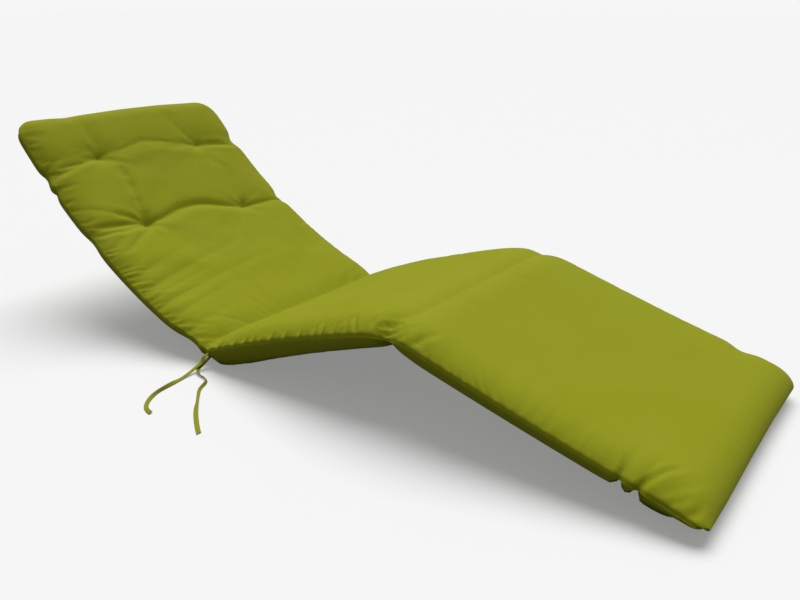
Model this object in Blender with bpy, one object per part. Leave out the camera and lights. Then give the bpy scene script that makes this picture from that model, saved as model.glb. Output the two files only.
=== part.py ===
"""Sun lounger cushion in its lounging shape: back raised, knees up, feet down.

The cushion is one filled solid: a crowned top panel, a border strip that slants in under the edge, and a
flatter underside. It is pulled in by four tufts near the head, sewn across at the seat crease and at the
knee, and nipped at its edges. Two narrow tapes leave the near edge at the seat crease and lie on the floor.

Metres, +Z up. The head is at -X, the foot at +X, and the side with the tapes at -Y. The floor is Z = 0.
"""
import math

import bmesh
import bpy
import numpy as np
from mathutils import Vector

# Driving sizes of the cushion, measured along its top seam.
WIDTH = 0.60
BACK = 0.760
SEAT = 0.491
LEGS = 0.572
LENGTH = BACK + SEAT + LEGS
CREASE = BACK - 0.012
KNEE = BACK + SEAT + 0.003
HALF = WIDTH / 2

# Where the seam level at the crease stands in the part's frame.
CREASE_X = -0.1954
CREASE_Z = 0.0465

# Corner radii in plan: (end, side) where the head is -1 and the near side is -1.
CORNER_RADII = {(-1, -1): 0.042, (-1, 1): 0.060, (1, -1): 0.014, (1, 1): 0.044}
EDGE_ROLL = 0.095
END_ROLL = 0.080
UNDER_ROLL = 0.075
ROLL_FULLNESS = 3.0
ROLL_STEEPNESS = 0.8
UNDER_STEEPNESS = 1.4
UNDER_PINCH = 0.8
BORDER_ROWS = 3
BORDER_BULGE = 0.004

# Slope of the seam line, walking from the head to the foot: (along, degrees, down is negative).
SLOPES = (
    (0.000, -50.0),
    (0.454, -31.3),
    (BACK - 0.055, -19.0),
    (BACK + 0.030, 20.8),
    (BACK + SEAT - 0.050, 15.2),
    (BACK + SEAT + 0.045, -17.2),
    (LENGTH - 0.090, -14.8),
    (LENGTH, -19.4),
)

# Thickness along the cushion: (along, crown over the seam, underside below the seam).
THICKNESS = (
    (0.000, 0.028, 0.042),
    (0.080, 0.031, 0.043),
    (0.240, 0.028, 0.044),
    (0.520, 0.027, 0.045),
    (CREASE - 0.030, 0.025, 0.050),
    (CREASE + 0.060, 0.024, 0.053),
    (CREASE + 0.200, 0.031, 0.048),
    (KNEE - 0.090, 0.031, 0.042),
    (KNEE + 0.090, 0.025, 0.042),
    (LENGTH - 0.250, 0.024, 0.046),
    (LENGTH - 0.060, 0.026, 0.060),
    (LENGTH, 0.027, 0.056),
)

# Border strip: (along, how far it drops, how far it slants in).
BORDER = (
    (0.000, 0.034, 0.030),
    (0.400, 0.036, 0.032),
    (CREASE - 0.080, 0.036, 0.032),
    (CREASE + 0.020, 0.042, 0.024),
    (CREASE + 0.100, 0.042, 0.024),
    (KNEE - 0.240, 0.036, 0.026),
    (KNEE - 0.070, 0.026, 0.024),
    (KNEE + 0.060, 0.034, 0.024),
    (LENGTH - 0.100, 0.034, 0.026),
    (LENGTH - 0.045, 0.024, 0.024),
    (LENGTH, 0.016, 0.022),
)

# Places where the edge is nipped in: (along, side, pulled in, dipped, share of border lost, half length).
NIPS = (
    (0.155, -1, 0.008, 0.004, 0.45, 0.020),
    (0.200, -1, 0.005, 0.000, 0.25, 0.014),
    (0.143, +1, 0.009, 0.005, 0.45, 0.024),
    (0.352, -1, 0.006, 0.002, 0.20, 0.030),
    (0.364, +1, 0.008, 0.004, 0.35, 0.024),
    (CREASE - 0.045, -1, 0.009, 0.000, 0.30, 0.045),
    (CREASE - 0.006, -1, 0.012, 0.009, 0.30, 0.016),
    (CREASE, +1, 0.010, 0.004, 0.55, 0.034),
    (KNEE - 0.012, -1, 0.017, 0.012, 0.88, 0.026),
    (KNEE, +1, 0.006, 0.006, 0.60, 0.034),
    (LENGTH - 0.111, -1, 0.010, 0.006, 0.60, 0.020),
    (LENGTH - 0.082, -1, 0.004, 0.004, 0.40, 0.012),
    (LENGTH - 0.114, +1, 0.008, 0.006, 0.45, 0.022),
)

# The head's edge: (across, how far it bulges out).
HEAD_EDGE = (
    (-0.300, 0.000),
    (-0.250, 0.007),
    (-0.200, 0.006),
    (-0.165, 0.003),
    (-0.110, 0.006),
    (0.000, 0.009),
    (0.120, 0.008),
    (0.220, 0.003),
    (0.300, 0.000),
)
# The foot's edge, likewise.
FOOT_EDGE = (
    (-0.300, 0.008),
    (-0.200, 0.007),
    (-0.050, 0.003),
    (0.100, 0.000),
    (0.300, 0.000),
)
EDGE_REACH = 0.16

# Seams sewn across the cushion: (along, depth on top, half width on top, depth below, half width below).
CHANNELS = (
    (CREASE, 0.020, 0.024, 0.000, 0.030),
    (KNEE, 0.009, 0.024, 0.014, 0.030),
)

# Rows of tufts: (along at the near tuft, at the far tuft, arch to the head, depth between, outside, half width,
# depth of the near tuft, depth of the far tuft).
TUFT_ROWS = (
    (0.132, 0.145, 0.030, 0.0040, 0.006, 0.028, 0.016, 0.012),
    (0.350, 0.372, 0.030, 0.0095, 0.007, 0.019, 0.021, 0.016),
)
TUFT_OFF_CENTRE = 0.147
TUFT_RADIUS = 0.024
TUFT_DEPTH_BELOW = 0.006

# Single creases in the top panel: (along, across) to (along, across), depth, half width.
CREASES = (
    (0.132, -0.147, 0.350, -0.147, 0.0055, 0.016),
    (0.338, -0.152, 0.326, -0.285, 0.0050, 0.010),
    (0.352, -0.152, 0.376, -0.280, 0.0050, 0.010),
    (0.360, -0.142, 0.416, -0.240, 0.0030, 0.010),
    (0.122, -0.155, 0.000, -0.172, 0.0050, 0.014),
    (0.140, -0.152, 0.166, -0.270, 0.0050, 0.010),
    (0.138, 0.147, 0.080, 0.165, 0.0030, 0.010),
    (0.540, -0.285, 0.450, 0.090, 0.0030, 0.012),
    (0.595, -0.280, 0.520, 0.110, 0.0030, 0.012),
    (KNEE - 0.035, -0.292, KNEE - 0.030, -0.225, 0.0050, 0.010),
    (KNEE + 0.035, -0.290, KNEE + 0.020, -0.220, 0.0050, 0.010),
    (KNEE + 0.075, -0.290, KNEE + 0.110, -0.225, 0.0040, 0.012),
    (LENGTH - 0.110, -0.295, LENGTH - 0.128, -0.245, 0.0040, 0.010),
    (LENGTH - 0.082, -0.295, LENGTH - 0.086, -0.215, 0.0050, 0.012),
    (LENGTH - 0.040, -0.292, LENGTH - 0.050, -0.250, 0.0040, 0.010),
)

# Gathers along an edge: (from, to, side, how many, depth, reach from the seam).
GATHERS = (
    (0.400, CREASE - 0.030, -1, 8, 0.0022, 0.050),
    (0.400, CREASE - 0.030, +1, 7, 0.0014, 0.040),
    (CREASE + 0.030, KNEE - 0.035, -1, 13, 0.0026, 0.050),
    (CREASE + 0.030, KNEE - 0.035, +1, 11, 0.0016, 0.040),
    (KNEE + 0.045, KNEE + 0.245, -1, 5, 0.0018, 0.055),
)

# Lengths of the mesh's columns: (from, to, how many).
COLUMNS = (
    (0.000, 0.030, 4),
    (0.030, 0.420, 24),
    (0.420, CREASE - 0.060, 11),
    (CREASE - 0.060, CREASE + 0.060, 10),
    (CREASE + 0.060, KNEE - 0.060, 22),
    (KNEE - 0.060, KNEE + 0.060, 10),
    (KNEE + 0.060, LENGTH - 0.140, 11),
    (LENGTH - 0.140, LENGTH - 0.060, 6),
    (LENGTH - 0.060, LENGTH, 5),
)
# Rows of the mesh from the centre line to the seam.
ROWS = (0.0, 0.035, 0.072, 0.108, 0.135, 0.160, 0.190, 0.222, 0.250, 0.273, 0.290, HALF)

# The tapes. Each route is a list of points chosen by hand: the first is on the border at the crease.
TAPE_WIDTH = 0.009
TAPE_THICKNESS = 0.002
TAPE_STEP = 0.010
STRAIGHT_ROUTE = (
    (-0.2016, -0.2897, 0.0328),
    (-0.2034, -0.2944, 0.0307),
    (-0.2050, -0.2984, 0.0288),
    (-0.2055, -0.3074, 0.0179),
    (-0.2068, -0.3190, 0.0119),
    (-0.2074, -0.3360, 0.0064),
    (-0.2047, -0.3620, 0.0022),
    (-0.2006, -0.3842, 0.0012),
    (-0.1976, -0.4023, 0.0012),
    (-0.1954, -0.4172, 0.0012),
    (-0.1929, -0.4302, 0.0012),
    (-0.1884, -0.4445, 0.0012),
    (-0.1814, -0.4600, 0.0012),
    (-0.1717, -0.4740, 0.0012),
    (-0.1588, -0.4856, 0.0012),
    (-0.1451, -0.4924, 0.0012),
    (-0.1327, -0.4957, 0.0012),
)
WAVY_ROUTE = (
    (-0.2006, -0.2856, 0.0252),
    (-0.2022, -0.2895, 0.0222),
    (-0.2037, -0.2932, 0.0193),
    (-0.2064, -0.3047, 0.0114),
    (-0.2045, -0.3167, 0.0083),
    (-0.1972, -0.3256, 0.0050),
    (-0.1843, -0.3309, 0.0028),
    (-0.1688, -0.3338, 0.0018),
    (-0.1560, -0.3396, 0.0012),
    (-0.1474, -0.3496, 0.0012),
    (-0.1412, -0.3633, 0.0012),
    (-0.1340, -0.3763, 0.0012),
    (-0.1208, -0.3910, 0.0012),
    (-0.1026, -0.4087, 0.0012),
    (-0.0829, -0.4288, 0.0012),
    (-0.0633, -0.4467, 0.0012),
    (-0.0398, -0.4656, 0.0012),
    (-0.0194, -0.4808, 0.0012),
    (-0.0015, -0.4930, 0.0012),
)

COVER_COLOUR = (0.300, 0.322, 0.022)
TAPE_COLOUR = (0.270, 0.285, 0.018)


def column_places():
    """Distances from the head of the mesh's columns, closer together where the cushion is sewn."""
    places = [0.0]
    for start, end, count in COLUMNS:
        places += [start + (end - start) * (i + 1) / count for i in range(count)]
    return places


def row_places():
    """Distances from the centre line of the mesh's rows, near side first."""
    return [-r for r in reversed(ROWS[1:])] + list(ROWS)


def table_value(table, along, column):
    """A value read from a table whose first column is the distance from the head."""
    return float(np.interp(along, [row[0] for row in table], [row[column] for row in table]))


def seam_line(step=0.002):
    """The seam line in side view: distances, and the x and z of each, with the crease at its place."""
    along = np.arange(-0.02, LENGTH + 0.02, step)
    slope = np.radians([table_value(SLOPES, s, 1) for s in along])
    x = np.cumsum(np.cos(slope)) * step
    z = np.cumsum(np.sin(slope)) * step
    x += CREASE_X - np.interp(BACK, along, x)
    z += CREASE_Z - np.interp(BACK, along, z)
    return along, x, z


LINE_ALONG, LINE_X, LINE_Z = seam_line()


def on_line(along, across, height):
    """The point at that distance from the head, across the cushion, and square to the seam line."""
    slope = math.radians(table_value(SLOPES, along, 1))
    x = float(np.interp(along, LINE_ALONG, LINE_X))
    z = float(np.interp(along, LINE_ALONG, LINE_Z))
    return Vector((x - height * math.sin(slope), across, z + height * math.cos(slope)))


def bell(distance, half_width):
    """One at the middle, falling smoothly to nothing."""
    return math.exp(-((distance / half_width) ** 2))


def dip(distance, half_width):
    """One at the middle, with a sharper bottom than a bell, as where cloth is sewn down."""
    return math.exp(-abs(distance / half_width) ** 1.25)


def roll(distance, radius, steepness=ROLL_STEEPNESS):
    """How far a rounded edge has risen at a distance from its seam, from 0 to 1."""
    left = 1 - min(max(distance / radius, 0), 1)
    return max(1 - left**ROLL_FULLNESS, 0) ** steepness


def nip(along, across, column):
    """What the nips take at this place on the edge: column 2 is inward, 3 downward, 4 of the border."""
    total = 0.0
    for row in NIPS:
        if row[1] * across > 0:
            total = max(total, row[column] * bell(along - row[0], row[5]))
    return total


def tufts(row):
    """The two tufts of a row, near and far, as places along and across."""
    return (row[0], -TUFT_OFF_CENTRE), (row[1], TUFT_OFF_CENTRE)


def tuft_row_line(row, across):
    """Where a row's valley runs: through its two tufts, and arched towards the head between them."""
    straight = row[0] + (row[1] - row[0]) * (across / TUFT_OFF_CENTRE + 1) / 2
    if abs(across) > TUFT_OFF_CENTRE:
        return straight
    return straight - row[2] * math.cos(math.pi / 2 * across / TUFT_OFF_CENTRE) ** 2


def crease_depth(along, across):
    """The single creases, each deepest at its first end and fading towards its second."""
    total = 0.0
    for s0, t0, s1, t1, depth, half_width in CREASES:
        ds, dt = s1 - s0, t1 - t0
        share = ((along - s0) * ds + (across - t0) * dt) / (ds * ds + dt * dt)
        held = min(max(share, 0), 1)
        off = math.hypot(along - s0 - held * ds, across - t0 - held * dt)
        total = max(total, depth * (1 - 0.75 * held) * bell(off, half_width))
    return total


def gather_depth(along, across):
    """The short gathers square to the edge seams, uneven in depth and spacing."""
    total = 0.0
    for start, end, side, count, depth, reach in GATHERS:
        if side * across <= 0 or not start < along < end:
            continue
        share = (along - start) / (end - start)
        wave = math.sin(2 * math.pi * count * share + 1.3 * math.sin(7.1 * share * math.pi))
        uneven = 0.65 + 0.35 * math.sin(23.0 * along + 2 * side)
        fade = math.sin(math.pi * share) ** 0.4
        total += depth * uneven * fade * wave * bell(HALF - abs(across), reach)
    return total


def top_height(along, across):
    """Height of the top panel over the seam."""
    edge = roll(HALF - abs(across), EDGE_ROLL) * roll(min(along, LENGTH - along), END_ROLL)
    height = table_value(THICKNESS, along, 1) * edge
    for place, depth, half_width, _, _ in CHANNELS:
        height -= depth * edge * dip(along - place, half_width)
    for row in TUFT_ROWS:
        depth = row[3] if abs(across) < TUFT_OFF_CENTRE else row[4]
        height -= depth * edge * dip(along - tuft_row_line(row, across), row[5])
        for (tuft_along, tuft_across), deep in zip(tufts(row), row[6:]):
            off = math.hypot(along - tuft_along, across - tuft_across)
            height -= (deep - depth) * dip(off, TUFT_RADIUS)
    height -= (crease_depth(along, across) + gather_depth(along, across)) * edge
    return height


def under_depth(along, across):
    """Depth of the underside below the seam: the border's depth at the edge, full in the middle."""
    at_edge = table_value(BORDER, along, 1) * (1 - nip(along, across, 4))
    full = table_value(THICKNESS, along, 2)
    from_side, from_end = HALF - abs(across), min(along, LENGTH - along)
    edge = roll(from_side, UNDER_ROLL, UNDER_STEEPNESS) * roll(from_end, UNDER_ROLL, UNDER_STEEPNESS)
    edge *= 1 - UNDER_PINCH * nip(along, across, 4) * bell(from_side, UNDER_ROLL)
    depth = at_edge + (full - at_edge) * edge
    for place, _, _, deep, half_width in CHANNELS:
        depth -= deep * edge * dip(along - place, half_width)
    for row in TUFT_ROWS:
        for tuft_along, tuft_across in tufts(row):
            off = math.hypot(along - tuft_along, across - tuft_across)
            depth -= TUFT_DEPTH_BELOW * dip(off, TUFT_RADIUS)
    return depth


def outline(along, across, inward):
    """The place in plan, with the sides nipped, the corners rounded and the edge moved inward."""
    nipped = inward + nip(along, across, 2)
    across -= math.copysign(nipped * abs(across / HALF) ** 3, across)
    ends_reach = 3 * EDGE_ROLL
    along -= table_value(HEAD_EDGE, across, 1) * max(1 - along / EDGE_REACH, 0) ** 2
    along += table_value(FOOT_EDGE, across, 1) * max(1 - (LENGTH - along) / EDGE_REACH, 0) ** 2
    along += inward * max(1 - along / ends_reach, 0) ** 2
    along -= inward * max(1 - (LENGTH - along) / ends_reach, 0) ** 2
    end, side = math.copysign(1, along - LENGTH / 2), math.copysign(1, across)
    radius = CORNER_RADII[(end, side)]
    p = (abs(along - LENGTH / 2) - (LENGTH / 2 - inward - radius)) / radius
    q = (abs(across) - (HALF - inward - radius)) / radius
    if p > 0 and q > 0:
        along += end * radius * p * (math.sqrt(max(1 - q * q / 2, 0)) - 1)
        across += side * radius * q * (math.sqrt(max(1 - p * p / 2, 0)) - 1)
    return along, across


def cushion_point(along, across, level):
    """Where a point of the flat slab goes: level 1 is the top panel, 0 the underside, between the border."""
    down = 1 - level
    slant = table_value(BORDER, along, 2)
    if level == 1:
        height = top_height(along, across)
    elif level == 0:
        height = -under_depth(along, across)
    else:
        height = -down * table_value(BORDER, along, 1) * (1 - nip(along, across, 4))
    inward = slant * down - BORDER_BULGE * math.sin(math.pi * down)
    height -= nip(along, across, 3) * abs(across / HALF) ** 3
    flat_along, flat_across = outline(along, across, inward)
    place = on_line(flat_along, flat_across, height)
    place.z = max(place.z, 0.0)
    return place


def flat_slab():
    """A slab of quads with its columns, rows and border rows, x along, y across and z the level."""
    columns, rows = column_places(), row_places()
    bm = bmesh.new()
    bmesh.ops.create_grid(bm, x_segments=len(columns) - 1, y_segments=len(rows) - 1, size=0.5)
    for vert in bm.verts:
        column = round((vert.co.x + 0.5) * (len(columns) - 1))
        row = round((vert.co.y + 0.5) * (len(rows) - 1))
        vert.co = (columns[column], rows[row], 0)
    raised = bmesh.ops.extrude_face_region(bm, geom=bm.faces[:])["geom"]
    bmesh.ops.translate(bm, verts=[v for v in raised if isinstance(v, bmesh.types.BMVert)], vec=(0, 0, 1))
    uprights = [e for e in bm.edges if abs(e.verts[0].co.z - e.verts[1].co.z) > 0.5]
    bmesh.ops.subdivide_edges(bm, edges=uprights, cuts=BORDER_ROWS - 1, use_grid_fill=True)
    return bm


def build_cushion():
    bm = flat_slab()
    for vert in bm.verts:
        vert.co = cushion_point(*vert.co)
    bmesh.ops.recalc_face_normals(bm, faces=bm.faces)
    mesh = bpy.data.meshes.new("cushion")
    bm.to_mesh(mesh)
    bm.free()
    mesh.shade_smooth()
    cushion = bpy.data.objects.new("cushion", mesh)
    bpy.context.scene.collection.objects.link(cushion)
    mesh.materials.append(cloth("cover cloth", COVER_COLOUR))


def smooth_route(points):
    """A smooth curve through a route's points, read off at even steps."""
    points = [Vector(p) for p in points]
    padded = [2 * points[0] - points[1], *points, 2 * points[-1] - points[-2]]
    fine = []
    for a, b, c, d in zip(padded, padded[1:], padded[2:], padded[3:]):
        for i in range(12):
            u = i / 12
            bend = 2 * a - 5 * b + 4 * c - d
            twist = 3 * (b - c) + d - a
            fine.append(b + 0.5 * (u * (c - a) + u * u * bend + u**3 * twist))
    fine.append(points[-1])
    run = np.cumsum([0] + [(q - p).length for p, q in zip(fine, fine[1:])])
    count = max(round(run[-1] / TAPE_STEP), 2)
    even = np.linspace(0, run[-1], count + 1)
    return [Vector([float(np.interp(s, run, [p[axis] for p in fine])) for axis in range(3)]) for s in even]


def build_tape(name, route):
    """A flat tape along its route: a curve with a narrow section, its broad face up."""
    points = smooth_route(route)
    curve = bpy.data.curves.new(name, "CURVE")
    curve.dimensions = "3D"
    curve.twist_mode = "Z_UP"
    curve.bevel_depth = TAPE_THICKNESS / 2
    curve.bevel_resolution = 2
    curve.extrude = (TAPE_WIDTH - TAPE_THICKNESS) / 2
    curve.use_fill_caps = True
    spline = curve.splines.new("POLY")
    spline.points.add(len(points) - 1)
    for spline_point, place in zip(spline.points, points):
        spline_point.co = (*place, 1)
        spline_point.tilt = math.pi / 2
    tape = bpy.data.objects.new(name, curve)
    bpy.context.scene.collection.objects.link(tape)
    curve.materials.append(cloth(name + " cloth", TAPE_COLOUR))


def cloth(name, colour):
    """Plain woven cloth: a dull Principled surface."""
    material = bpy.data.materials.new(name)
    material.use_nodes = True
    shader = material.node_tree.nodes["Principled BSDF"]
    shader.inputs["Base Color"].default_value = (*colour, 1)
    shader.inputs["Roughness"].default_value = 0.85
    shader.inputs["Metallic"].default_value = 0.0
    return material


def main():
    for thing in list(bpy.data.objects):
        bpy.data.objects.remove(thing)
    build_cushion()
    build_tape("tie_straight", STRAIGHT_ROUTE)
    build_tape("tie_wavy", WAVY_ROUTE)


main()
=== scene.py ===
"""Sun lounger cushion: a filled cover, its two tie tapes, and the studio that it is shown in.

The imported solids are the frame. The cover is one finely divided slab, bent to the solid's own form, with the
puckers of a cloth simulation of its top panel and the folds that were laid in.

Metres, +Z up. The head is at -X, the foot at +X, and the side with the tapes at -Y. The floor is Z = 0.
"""
import math

import bpy
import numpy as np
from bpy.props import FloatProperty, FloatVectorProperty, IntProperty, PointerProperty
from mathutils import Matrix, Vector


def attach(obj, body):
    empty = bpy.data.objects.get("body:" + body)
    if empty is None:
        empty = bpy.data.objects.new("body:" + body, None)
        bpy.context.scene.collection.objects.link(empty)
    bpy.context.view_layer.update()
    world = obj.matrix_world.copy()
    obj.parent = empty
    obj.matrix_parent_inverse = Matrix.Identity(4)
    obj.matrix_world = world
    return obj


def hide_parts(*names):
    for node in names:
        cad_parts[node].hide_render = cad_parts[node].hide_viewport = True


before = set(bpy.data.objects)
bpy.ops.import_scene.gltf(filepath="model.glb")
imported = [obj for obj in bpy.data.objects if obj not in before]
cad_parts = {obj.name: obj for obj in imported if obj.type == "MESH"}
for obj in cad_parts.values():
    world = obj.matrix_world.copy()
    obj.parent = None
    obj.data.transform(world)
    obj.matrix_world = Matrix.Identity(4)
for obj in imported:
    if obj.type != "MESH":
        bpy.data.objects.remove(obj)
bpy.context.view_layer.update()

bl_info = {
    "name": "Sun lounger cushion",
    "version": (1, 0, 0),
    "blender": (4, 5, 0),
    "location": "View3D > Sidebar > Lounger cushion",
    "description": "Sews, fills and dresses a sun lounger cushion with its tie tapes",
    "category": "Add Mesh",
}

# Driving sizes of the cushion, measured along its top seam, as in the solid.
WIDTH = 0.60
BACK = 0.760
SEAT = 0.491
LEGS = 0.572
LENGTH = BACK + SEAT + LEGS
CREASE = BACK - 0.012
KNEE = BACK + SEAT + 0.003
HALF = WIDTH / 2
CREASE_X = -0.1954
CREASE_Z = 0.0465

# Corner radii in plan: (end, side) where the head is -1 and the near side is -1.
CORNER_RADII = {(-1, -1): 0.042, (-1, 1): 0.060, (1, -1): 0.014, (1, 1): 0.044}
# How far in from the sides, the head and the foot the top panel is rounded, and the underside from any edge.
EDGE_ROLL = 0.084
HEAD_ROLL = 0.045
FOOT_ROLL = 0.080
UNDER_ROLL = 0.075
# The form of that rounding, how much a nip takes of the underside's, and how far the border strip swells out.
ROLL_FULLNESS = 3.0
ROLL_STEEPNESS = 0.8
UNDER_STEEPNESS = 1.4
UNDER_PINCH = 0.8
BORDER_BULGE = 0.005
# Places nearer than this are the same, and levels nearer than this are the same.
SAME_PLACE = 1e-5
SAME_LEVEL = 0.001
# How the border's rows crowd to the seam.
BORDER_CROWDING = 1.25

# Slope of the seam line, walking from the head to the foot: (along, degrees, down is negative).
SLOPES = (
    (0.000, -50.0),
    (0.454, -31.3),
    (BACK - 0.055, -19.0),
    (BACK + 0.030, 20.8),
    (BACK + SEAT - 0.050, 15.2),
    (BACK + SEAT + 0.045, -17.2),
    (LENGTH - 0.090, -14.8),
    (LENGTH, -19.4),
)

# Thickness along the cushion: (along, crown over the seam, underside below the seam).
THICKNESS = (
    (0.000, 0.022, 0.042),
    (0.080, 0.029, 0.043),
    (0.240, 0.028, 0.044),
    (0.520, 0.027, 0.045),
    (CREASE - 0.030, 0.025, 0.050),
    (CREASE + 0.060, 0.024, 0.053),
    (CREASE + 0.200, 0.031, 0.048),
    (KNEE - 0.090, 0.031, 0.042),
    (KNEE + 0.090, 0.025, 0.042),
    (LENGTH - 0.250, 0.024, 0.046),
    (LENGTH - 0.060, 0.026, 0.060),
    (LENGTH, 0.027, 0.056),
)

# Border strip: (along, how far it drops, how far it slants in).
BORDER = (
    (0.000, 0.034, 0.030),
    (0.400, 0.036, 0.032),
    (CREASE - 0.080, 0.036, 0.032),
    (CREASE + 0.020, 0.042, 0.024),
    (CREASE + 0.100, 0.042, 0.024),
    (KNEE - 0.240, 0.036, 0.026),
    (KNEE - 0.070, 0.026, 0.024),
    (KNEE + 0.060, 0.034, 0.024),
    (LENGTH - 0.160, 0.032, 0.026),
    (LENGTH - 0.100, 0.028, 0.025),
    (LENGTH - 0.045, 0.022, 0.023),
    (LENGTH, 0.015, 0.021),
)

# Places where the edge is nipped in: (along, side, pulled in, dipped, share of border lost, half length).
NIPS = (
    (0.155, -1, 0.008, 0.004, 0.45, 0.020),
    (0.200, -1, 0.005, 0.000, 0.25, 0.014),
    (0.143, +1, 0.009, 0.005, 0.45, 0.024),
    (0.352, -1, 0.006, 0.002, 0.20, 0.030),
    (0.364, +1, 0.008, 0.004, 0.35, 0.024),
    (CREASE - 0.045, -1, 0.009, 0.000, 0.30, 0.045),
    (CREASE - 0.006, -1, 0.012, 0.009, 0.30, 0.016),
    (CREASE, +1, 0.010, 0.004, 0.55, 0.034),
    (KNEE - 0.018, -1, 0.017, 0.012, 0.92, 0.022),
    (KNEE, +1, 0.006, 0.006, 0.60, 0.034),
    (LENGTH - 0.131, -1, 0.005, 0.002, 0.72, 0.007),
    (LENGTH - 0.101, -1, 0.006, 0.003, 0.80, 0.007),
    (LENGTH - 0.114, +1, 0.008, 0.006, 0.45, 0.022),
)

# How fast a nip fades to the middle of the cushion: sideways and down.
NIP_FADE = 3
NIP_DIP_FADE = 7

# The head's edge: (across, how far it bulges out).
HEAD_EDGE = (
    (-0.300, 0.000),
    (-0.250, 0.007),
    (-0.200, 0.006),
    (-0.165, 0.003),
    (-0.110, 0.006),
    (0.000, 0.009),
    (0.120, 0.008),
    (0.220, 0.003),
    (0.300, 0.000),
)
# The foot's edge, likewise.
FOOT_EDGE = (
    (-0.300, 0.008),
    (-0.200, 0.007),
    (-0.050, 0.003),
    (0.100, 0.000),
    (0.300, 0.000),
)
# How far from its end the cushion follows that edge.
EDGE_REACH = 0.16

# Seams sewn across the cushion: (along, depth on top, half width on top, depth below, half width below).
CHANNELS = (
    (CREASE, 0.020, 0.024, 0.000, 0.030),
    (KNEE, 0.009, 0.024, 0.014, 0.030),
)

# Near the edge the knee's seam bends to the knot: how far, and within what reach of the edge.
KNOT_SHIFT = 0.020
KNOT_REACH = 0.050

# Rows of tufts: (along at the near tuft, at the far tuft, arch to the head, depth between, depth outside,
# half width, depth of the near tuft, depth of the far tuft).
TUFT_ROWS = (
    (0.134, 0.147, 0.026, 0.0030, 0.004, 0.024, 0.015, 0.011),
    (0.350, 0.372, 0.030, 0.0080, 0.006, 0.014, 0.021, 0.016),
)
TUFT_OFF_CENTRE = 0.147
# The plump lip below a row: its height, and where it stands and how wide it is past the row's valley.
ROW_LIP = 0.0022
ROW_LIP_AT = 0.030
ROW_LIP_HALF = 0.018
# Each tuft: its radius, its depth below, how many small folds run from it, their share of the radius, and
# where they start from its middle.
TUFT_RADIUS = 0.024
TUFT_DEPTH_BELOW = 0.006
TUFT_FOLDS = 7
TUFT_FOLD_SHARE = 0.16
TUFT_FOLD_START = 0.010
# Turns each tuft's folds by its own amount, in radians per metre from the head.
TUFT_FOLD_TURN = 40
# How wide the change is from a row's valley between its tufts to the one outside them.
TUFT_ROW_CHANGE = 0.020

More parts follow.
